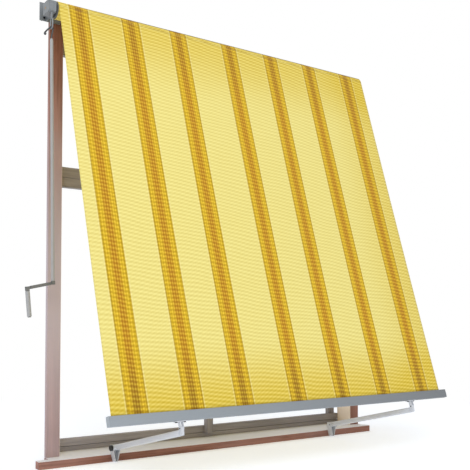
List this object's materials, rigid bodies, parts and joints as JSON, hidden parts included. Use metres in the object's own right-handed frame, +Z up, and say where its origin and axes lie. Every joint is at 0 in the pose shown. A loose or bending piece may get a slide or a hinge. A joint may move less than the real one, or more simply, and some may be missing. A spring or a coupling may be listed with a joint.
{
  "type": "retractable awning",
  "caption": "Window drop awning: striped cloth between a geared roller and a front bar on two hinged arms, with a hanging crank and its timber frame",
  "frame": {"origin": "middle of the sill's underside, under the plane of the jambs' front faces", "axes": "+X to the right along the window, +Y into the wall, +Z up; the cloth comes out to -Y"},
  "size_m": [2.2411, 0.9343, 2.2505],
  "materials": {
    "timber": "brown stained timber",
    "grey_wood": "grey-brown painted timber",
    "zinc": "zinc-plated steel and grey castings",
    "galvanized_tube": "galvanized",
    "bar_aluminium": "grey anodized",
    "gear_bronze": "cast bronze",
    "white_metal": "white powder coat",
    "grip_plastic": "light grey",
    "dark_plastic": "dark grey",
    "dark_steel": "black oxide",
    "awning_cloth": "woven acrylic, yellow with broad brown and gold stripes"
  },
  "bodies": {
    "frame": {"sill_board": "timber", "left_jamb": "timber", "right_jamb": "timber", "head_rail": "timber", "bottom_rail": "grey_wood", "sash_rail": "grey_wood", "transom": "grey_wood", "top_rail": "grey_wood", "left_stile": "grey_wood", "right_stile": "grey_wood", "mullion": "grey_wood", "gear_plate": "zinc", "gear_housing": "zinc", "gear_cover": "zinc", "gear_screw_outer": "zinc", "gear_screw_inner": "zinc", "idler_bracket": "zinc", "idler_screw_low": "zinc", "idler_screw_high": "zinc", "left_sill_bracket": "white_metal", "left_pivot_bolt": "zinc", "left_pivot_cap": "dark_plastic", "left_sill_screw": "zinc", "right_sill_bracket": "white_metal", "right_pivot_bolt": "zinc", "right_pivot_cap": "dark_plastic", "right_sill_screw": "zinc"},
    "roller": {"roller_tube": "galvanized_tube", "fabric_roll": "awning_cloth", "drive_plug": "dark_plastic", "idler_plug": "dark_plastic", "worm_wheel": "gear_bronze"},
    "drive": {"worm_with_eye": "zinc", "crank_hook": "zinc", "crank_rod": "white_metal", "elbow_fork": "dark_plastic", "elbow_pin": "zinc"},
    "crank_arm": {"crank_arm": "dark_plastic"},
    "grip_core": {"grip_rod": "dark_plastic", "grip_pin": "zinc"},
    "grip_sleeve": {"crank_grip": "grip_plastic"},
    "left_arm": {"left_arm_tube": "white_metal", "left_arm_knuckle": "white_metal", "left_arm_tip": "white_metal"},
    "right_arm": {"right_arm_tube": "white_metal", "right_arm_knuckle": "white_metal", "right_arm_tip": "white_metal"},
    "front_bar": {"front_bar": "bar_aluminium", "bar_cap_left": "dark_plastic", "bar_cap_right": "dark_plastic", "hem_rod": "grip_plastic", "left_bar_bracket": "white_metal", "left_bar_pin": "dark_steel", "left_bar_screw_left": "dark_steel", "left_bar_screw_right": "dark_steel", "right_bar_bracket": "white_metal", "right_bar_pin": "dark_steel", "right_bar_screw_left": "dark_steel", "right_bar_screw_right": "dark_steel"},
    "cloth": {"fabric_sheet": "awning_cloth"}
  },
  "joints": [
    {"name": "roller_spin", "type": "hinge", "parent": "frame", "child": "roller", "pos_m": [0, -0.084, 2.192], "axis": [-1, 0, 0], "range_deg": [0, 720]},
    {"name": "drive_spin", "type": "hinge", "parent": "frame", "child": "drive", "pos_m": [-1.0745, -0.117, 2.192], "axis": [0, 0, -1], "range_deg": [0, 7920]},
    {"name": "arm_fold", "type": "hinge", "parent": "drive", "child": "crank_arm", "pos_m": [-1.05609, -0.117, 0.87364], "axis": [0, 1, 0], "range_deg": [-70, 10]},
    {"name": "grip_fold", "type": "hinge", "parent": "crank_arm", "child": "grip_core", "pos_m": [-1.17954, -0.117, 0.84695], "axis": [0, 1, 0], "range_deg": [-10, 70]},
    {"name": "grip_spin", "type": "hinge", "parent": "grip_core", "child": "grip_sleeve", "pos_m": [-1.17954, -0.117, 0.84695], "axis": [0.0872, 0, -0.9962], "continuous": true},
    {"name": "left_arm_swing", "type": "hinge", "parent": "frame", "child": "left_arm", "pos_m": [-0.7235, -0.112, 0.071], "axis": [-1, 0, 0], "range_deg": [0, 55]},
    {"name": "right_arm_swing", "type": "hinge", "parent": "frame", "child": "right_arm", "pos_m": [0.7115, -0.112, 0.071], "axis": [-1, 0, 0], "range_deg": [0, 55]},
    {"name": "bar_level", "type": "hinge", "parent": "left_arm", "child": "front_bar", "pos_m": [-0.7235, -0.73991, 0.23901], "axis": [-1, 0, 0], "range_deg": [-55, 0]},
    {"name": "cloth_swing", "type": "hinge", "parent": "frame", "child": "cloth", "pos_m": [0, -0.084, 2.192], "axis": [1, 0, 0], "range_deg": [0, 9.99], "deforming": ["fabric_sheet"]}
  ],
  "couplings": [
    {"joint": "drive_spin", "follows": "roller_spin", "ratio": 11},
    {"joint": "left_arm_swing", "follows": "roller_spin", "ratio": 0.076389},
    {"joint": "right_arm_swing", "follows": "roller_spin", "ratio": 0.076389},
    {"joint": "bar_level", "follows": "roller_spin", "ratio": -0.076389},
    {"joint": "cloth_swing", "follows": "roller_spin", "ratio": 0.013875}
  ]
}
